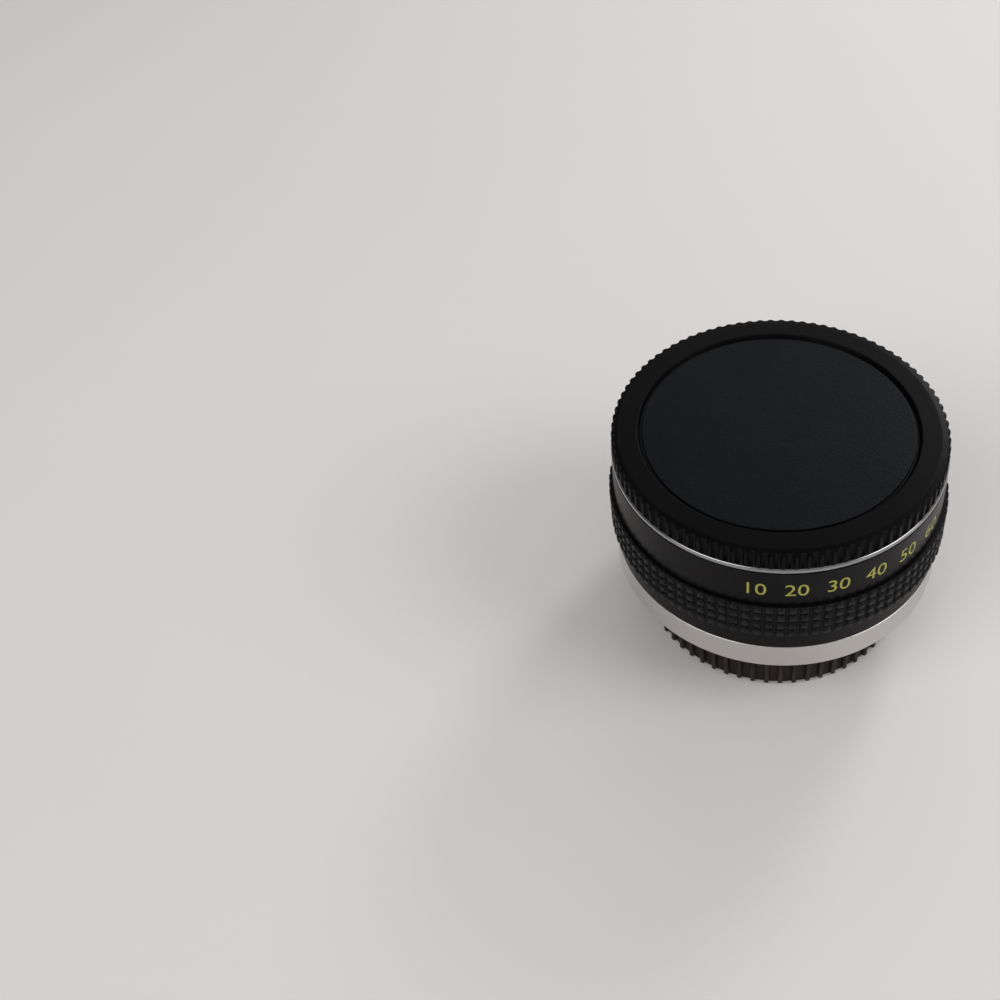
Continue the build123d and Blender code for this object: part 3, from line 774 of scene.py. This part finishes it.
disc_finish = finish(
    "black cap disc", (0.0026, 0.0034, 0.0056), 0.34, specular=0.1, shade=0.2,
    grain=0.05, grain_size=0.5, dust=0.02, wear=0.2, wear_colour=(0.02, 0.02, 0.022),
)
number_paint = finish(
    "number paint", (0.5, 0.48, 0.1), 0.5, specular=0.3, shade=0.1,
    grain=0.002, grain_size=0.15, dust=0.1,
)


def glass(name, tint):
    """Coated lens glass."""
    material = bpy.data.materials.new(name)
    material.use_nodes = True
    tree = material.node_tree
    tree.nodes.clear()
    w = Wiring(tree)
    surface = w.node("ShaderNodeBsdfPrincipled")
    output = w.node("ShaderNodeOutputMaterial")
    tree.links.new(surface.outputs[0], output.inputs[0])
    where = w.node("ShaderNodeTexCoord").outputs["Object"]
    handled = w.node("ShaderNodeGroup", node_tree=handling_tree)
    w.put(where, handled.inputs["Vector"])
    surface.inputs["Base Color"].default_value = (0.96, 0.97, 0.98, 1.0)
    surface.inputs["Transmission Weight"].default_value = 1.0
    surface.inputs["IOR"].default_value = 1.6
    surface.inputs["Specular Tint"].default_value = (*tint, 1.0)
    w.put(w.math("MULTIPLY", handled.outputs["Dust"], 0.03), surface.inputs["Roughness"])
    return material


finishes["coated_glass"] = glass("coated glass", (0.45, 0.55, 1.0))

slots = {part["node"]: part["material_slot"] for part in frame["record"]["subparts"]}
for node_name, node in nodes.items():
    node.data.materials.clear()
    node.data.materials.append(finishes[slots[node_name]])


# Front cap


def flute_turn():
    """Angles that fall where the flutes need them."""
    half = math.pi / flute_count
    shares = [-s for s in reversed(flute_sample_shares[1:])] + list(flute_sample_shares)
    around = [s * half for s in shares]
    return np.array([i * 2 * half + a for i in range(flute_count) for a in around])


def fluted(r, z, turn):
    """Radius at a height once the flutes and their round ends are cut."""
    pitch = 2 * math.pi / flute_count
    off = (turn + pitch / 2) % pitch - pitch / 2
    across = flute_axis_r * np.sin(off)
    reach = flute_r**2 - max(0.0, z - flute_end) ** 2
    inside = reach - across**2
    cut = flute_axis_r * np.cos(off) - np.sqrt(np.maximum(inside, 0))
    cut = np.where(inside > 0, cut, r + beyond_flute)
    blend = np.sqrt((r - cut) ** 2 + flute_softness**2)
    return (r + cut - blend) / 2 + flute_lift


def front_cap_shapes():
    shoulder = []
    for k in range(shoulder_steps + 1):
        t = math.pi / 2 * k / shoulder_steps
        r = cap_bevel_r + (cap_r - cap_bevel_r) * math.cos(t)
        z = cap_round_low + (cap_bevel_z - cap_round_low) * math.sin(t)
        shoulder.append((r, z, shoulder_wear * math.sin(2 * t)))
    for share in bevel_row_shares:
        r = cap_bevel_r + (cap_flat_r - cap_bevel_r) * share
        z = cap_bevel_z + (cap_flat_z - cap_bevel_z) * share
        shoulder.append((r, z, bevel_wear))
    skirt = outline(
        [
            (0, cap_under, 0),
            (cap_bore_r, cap_under, cap_bore_round),
            (cap_bore_r, cap_low, cap_edge_round),
            (cap_r, cap_low, cap_edge_round),
            (cap_r, cap_round_low, 0),
        ],
        closed=False,
        steps=skirt_round_steps,
    )
    crown = outline(
        [
            (cap_bevel_r, cap_bevel_z, 0),
            (cap_flat_r, cap_flat_z, cap_flat_round),
            (disc_edge_r, cap_top, disc_edge_round),
            (groove_outer_r, groove_z, groove_round),
            (groove_inner_r, groove_z, groove_round),
            (groove_inner_r, disc_z, disc_round),
            (0, disc_z, 0),
        ],
        closed=False,
        steps=crown_round_steps,
    )
    wall = [(cap_r, flute_wall_low, 0.0), (cap_r, flute_wall_high, 0.0)]
    rows = skirt[:-1] + wall + shoulder + crown[1:]
    shapes = [lathe(rows, flute_turn(), closed=False, push=fluted)]
    shapes += lugs(
        cap_lug_r, cap_bore_r + cap_lug_sink, cap_lug_low, cap_lug_high, cap_lug_first,
        cap_lug_span,
    )
    return shapes


cap_mesh = mesh_of("front_cap_fluted", front_cap_shapes())
piece(
    "front_cap_fluted",
    cap_mesh,
    finishes["cap_plastic_black"],
    "front_cap",
    ("front_cap",),
)
cap_mesh.materials.append(disc_finish)
disc_finish_r = groove_inner_r + groove_round
disc_finish_low = groove_z + groove_finish_height
for face in cap_mesh.polygons:
    middle = face.center / MM
    if middle.z > disc_finish_low and math.hypot(middle.x, middle.y) < disc_finish_r:
        face.material_index = 1


# Bands and trim


def band(name, inner_r, outer_r, low, high, soft, node, slot):
    rows = outline(
        [
            (inner_r, low, seat_round),
            (outer_r, low, soft),
            (outer_r, high, soft),
            (inner_r, high, seat_round),
        ],
        steps=band_round_steps,
    )
    mesh = mesh_of(name, [lathe(rows, even_turn())])
    piece(name, mesh, finishes[slot], "barrel", (node,))


band("name_band_smooth", seat_r, band_r, name_low, name_high, band_round,
     "name_band", "black_anodised")
band("trim_ring_polished", trim_inner_r, band_r, name_high, trim_high, trim_round,
     "chrome_trim_ring", "polished_trim")


def number_meshes():
    """Plain numbers, bent round the band."""
    points, faces = [], []
    for i, label in enumerate(number_labels):
        text = bpy.data.curves.new("number_" + label, "FONT")
        text.body = label
        text.size = number_height / capital_share
        text.align_x = "CENTER"
        text.resolution_u = 4
        carrier = bpy.data.objects.new("number_carrier", text)
        bpy.context.scene.collection.objects.link(carrier)
        bpy.context.view_layer.update()
        sight = bpy.context.evaluated_depsgraph_get()
        mesh = bpy.data.meshes.new_from_object(carrier.evaluated_get(sight))
        middle = math.radians(number_first + i * number_pitch)
        start = len(points)
        for v in mesh.vertices:
            angle = middle + v.co.x / band_r
            r = band_r + number_lift
            height = number_middle - number_height / 2 + v.co.y
            points.append((r * math.cos(angle), r * math.sin(angle), height))
        faces += [tuple(start + k for k in p.vertices) for p in mesh.polygons]
        bpy.data.objects.remove(carrier)
        bpy.data.meshes.remove(mesh)
        bpy.data.curves.remove(text)
    return [(points, faces, [0.0] * len(points))]


piece("band_numbers", mesh_of("band_numbers", number_meshes()), number_paint, "barrel")


# Grip ring


def grip_mesh():
    material = finishes["black_grip"]
    pad_height = (grip_high - grip_low - (pad_rows - 1) * pad_gap) / pad_rows
    base_width = 2 * math.pi * grip_floor_r / pad_count * pad_base_share
    tip_width = 2 * math.pi * grip_r / pad_count * pad_tip_share
    pad = tapered_block(
        grip_floor_r - foot_sink, grip_r, base_width, tip_width,
        grip_low, grip_low + pad_height, pad_round, pad_end_taper,
    )
    return repeated(
        "grip_pads", pad, pad_count, pad_rows, pad_height + pad_gap, 0, 7, pad_unevenness,
        material,
    )


grip_rows = outline(
    [
        (seat_r, grip_low, seat_round),
        (grip_floor_r, grip_low, grip_round),
        (grip_floor_r, grip_high, grip_round),
        (seat_r, grip_high, seat_round),
    ]
)
# The sleeve is the floor between the pads, in the darker grip finish that paints shade into the
# grooves.
piece(
    "grip_sleeve",
    mesh_of("grip_sleeve", [lathe(grip_rows, even_turn())]),
    grip_floor_painted_shade_finish,
    "barrel",
    ("grip_ring",),
)
piece("grip_pads", grip_mesh(), finishes["black_grip"], "barrel", ("grip_ring",))


# Breech ring


breech_rows = outline(
    [
        (breech_bore_r, breech_low, breech_round),
        (breech_r, breech_low, breech_round),
        (breech_r, breech_high, breech_round),
        (breech_skirt_r, breech_high, breech_step_round),
        (breech_skirt_r, breech_lip_high, breech_step_round),
        (breech_neck_r, breech_lip_high, breech_step_round),
        (breech_neck_r, breech_lip_low, breech_step_round),
        (breech_bore_r, breech_lip_low, breech_step_round),
    ]
)
piece(
    "breech_ring_turned",
    mesh_of(
        "breech_ring_turned",
        [lathe(breech_rows, even_turn())]
        + lugs(
            breech_lug_r, breech_bore_r + lug_sink, breech_low, breech_lug_top, 0,
            breech_lug_span,
        ),
    ),
    finishes["satin_aluminium"],
    "breech_ring",
    ("breech_ring",),
)


# Rear cap


rear_rows = outline(
    [
        (0, 0, 0),
        (rear_skirt_r, 0, rear_bevel),
        (rear_skirt_r, rear_skirt_high, rear_corner_round),
        (rear_collar_r, rear_skirt_high, rear_step_round),
        (rear_collar_r, rear_high, rear_rim_round),
        (rear_bore_r, rear_high, rear_rim_round),
        (rear_bore_r, rear_floor, rear_corner_round),
        (0, rear_floor, 0),
    ],
    closed=False,
)
piece(
    "rear_cap_cup",
    mesh_of(
        "rear_cap_cup",
        [lathe(rear_rows, even_turn(), closed=False)]
        + lugs(
            rear_bore_r + rear_lug_sink, rear_lug_r, rear_lug_low, rear_high, rear_lug_first,
            rear_lug_span,
        ),
    ),
    finishes["cap_plastic_brown"],
    "rear_cap",
    ("rear_cap",),
)
rib = tapered_block(
    rear_skirt_r - foot_sink, rib_r,
    2 * math.pi * rear_skirt_r / rib_count * rib_base_share,
    2 * math.pi * rib_r / rib_count * rib_tip_share,
    rib_low, rib_high, rib_round,
)
piece(
    "rear_cap_ribs",
    repeated(
        "rear_cap_ribs", rib, rib_count, 1, 0, 0, 3, rib_unevenness,
        finishes["cap_plastic_brown"],
    ),
    finishes["cap_plastic_brown"],
    "rear_cap",
    ("rear_cap",),
)


# Floor, lights and camera

pale = (1.0, 0.97, 0.95, 1.0)
pale_level = 0.6
plain_reach = 0.55
pale_reach = 1.5
floor_reach = 4.0
floor_corners = ((-1, -1), (1, -1), (1, 1), (-1, 1))
floor_dim = (0.86, 0.835, 0.825, 1.0)
floor_bright = (0.89, 0.865, 0.855, 1.0)


def floor():
    """A plain pale floor that keeps the shadow and turns into the backdrop far away."""
    mesh = bpy.data.meshes.new("floor")
    corners = [(x * floor_reach, y * floor_reach, 0) for x, y in floor_corners]
    mesh.from_pydata(corners, [], [(0, 1, 2, 3)])
    material = bpy.data.materials.new("pale floor")
    material.use_nodes = True
    tree = material.node_tree
    w = Wiring(tree)
    surface = tree.nodes["Principled BSDF"]
    surface.inputs["Roughness"].default_value = 0.75
    surface.inputs["Specular IOR Level"].default_value = 0.2
    where = w.node("ShaderNodeTexCoord").outputs["Object"]
    tone = w.noise(where, 9.0, 3.0)
    base = w.mix(tone, floor_dim, floor_bright)
    distance = w.node("ShaderNodeVectorMath", operation="LENGTH")
    w.put(where, distance.inputs[0])
    far = w.ramp(distance.outputs["Value"], plain_reach, pale_reach)
    seen = w.node("ShaderNodeLightPath").outputs["Is Camera Ray"]
    glow = w.math("MULTIPLY", far, seen)
    w.put(w.mix(glow, base, (0.0, 0.0, 0.0, 1.0)), surface.inputs["Base Color"])
    w.put(pale, surface.inputs["Emission Color"])
    w.put(w.math("MULTIPLY", glow, pale_level), surface.inputs["Emission Strength"])
    mesh.materials.append(material)
    thing = bpy.data.objects.new("floor", mesh)
    bpy.context.scene.collection.objects.link(thing)


def area_light(name, place, aim, size, power, colour):
    light = bpy.data.lights.new(name, "AREA")
    light.shape = "DISK"
    light.size = size
    light.energy = power
    light.color = colour
    thing = bpy.data.objects.new(name, light)
    thing.location = place
    way = np.array(aim) - np.array(place)
    yaw = math.atan2(way[1], way[0]) + math.pi / 2
    tilt = math.atan2(math.hypot(way[0], way[1]), -way[2])
    thing.rotation_euler = (tilt, 0, yaw + math.pi)
    bpy.context.scene.collection.objects.link(thing)


room_reach = (-0.9, 0.3)  # between these parts of a direction's X the room gets brighter
room_left = 0.16
room_right = 0.36
room_colour = (1.0, 0.985, 0.97, 1.0)
lamp_colour = (1.0, 0.985, 0.97)
daylight = (0.97, 0.99, 1.0)

floor()
area_light("overhead left", (-0.52, -0.6, 0.8), (0, 0, 0.02), 0.8, 3.5, lamp_colour)
area_light("overhead right", (0.75, -0.15, 0.65), (0, 0, 0.02), 0.6, 2.9, lamp_colour)
area_light("window", (-0.1, 0.95, 0.8), (0, 0, 0.03), 0.7, 0.8, daylight)
area_light("key", (0.31, 0.6, 0.46), (0, 0, 0.03), 0.22, 1.4, daylight)


def studio_world():
    """Even room light, dimmer on the left."""
    world = bpy.data.worlds.new("studio")
    bpy.context.scene.world = world
    world.use_nodes = True
    w = Wiring(world.node_tree)
    room = world.node_tree.nodes["Background"]
    parts = w.node("ShaderNodeSeparateXYZ")
    w.put(w.node("ShaderNodeTexCoord").outputs["Generated"], parts.inputs[0])
    seen = w.node("ShaderNodeLightPath").outputs["Is Camera Ray"]
    level = w.ramp(parts.outputs[0], *room_reach, room_left, room_right)
    w.put(w.mix(seen, room_colour, pale), room.inputs["Color"])
    extra = w.math("MULTIPLY", w.math("SUBTRACT", pale_level, level), seen)
    w.put(w.math("ADD", level, extra), room.inputs["Strength"])


studio_world()

camera_place = (0.0, -0.1783, 0.22674)
camera_turn = (46.48, 6.833, 10.507)  # degrees
camera = bpy.data.cameras.new("camera")
camera.lens = 45.907
camera.sensor_width = 36.0
camera.shift_y = -0.1
camera.clip_start = 0.01
camera.clip_end = 20.0
camera_thing = bpy.data.objects.new("camera", camera)
camera_thing.location = camera_place
camera_thing.rotation_euler = tuple(math.radians(a) for a in camera_turn)
bpy.context.scene.collection.objects.link(camera_thing)
bpy.context.scene.camera = camera_thing
bpy.context.scene.view_settings.view_transform = "Standard"
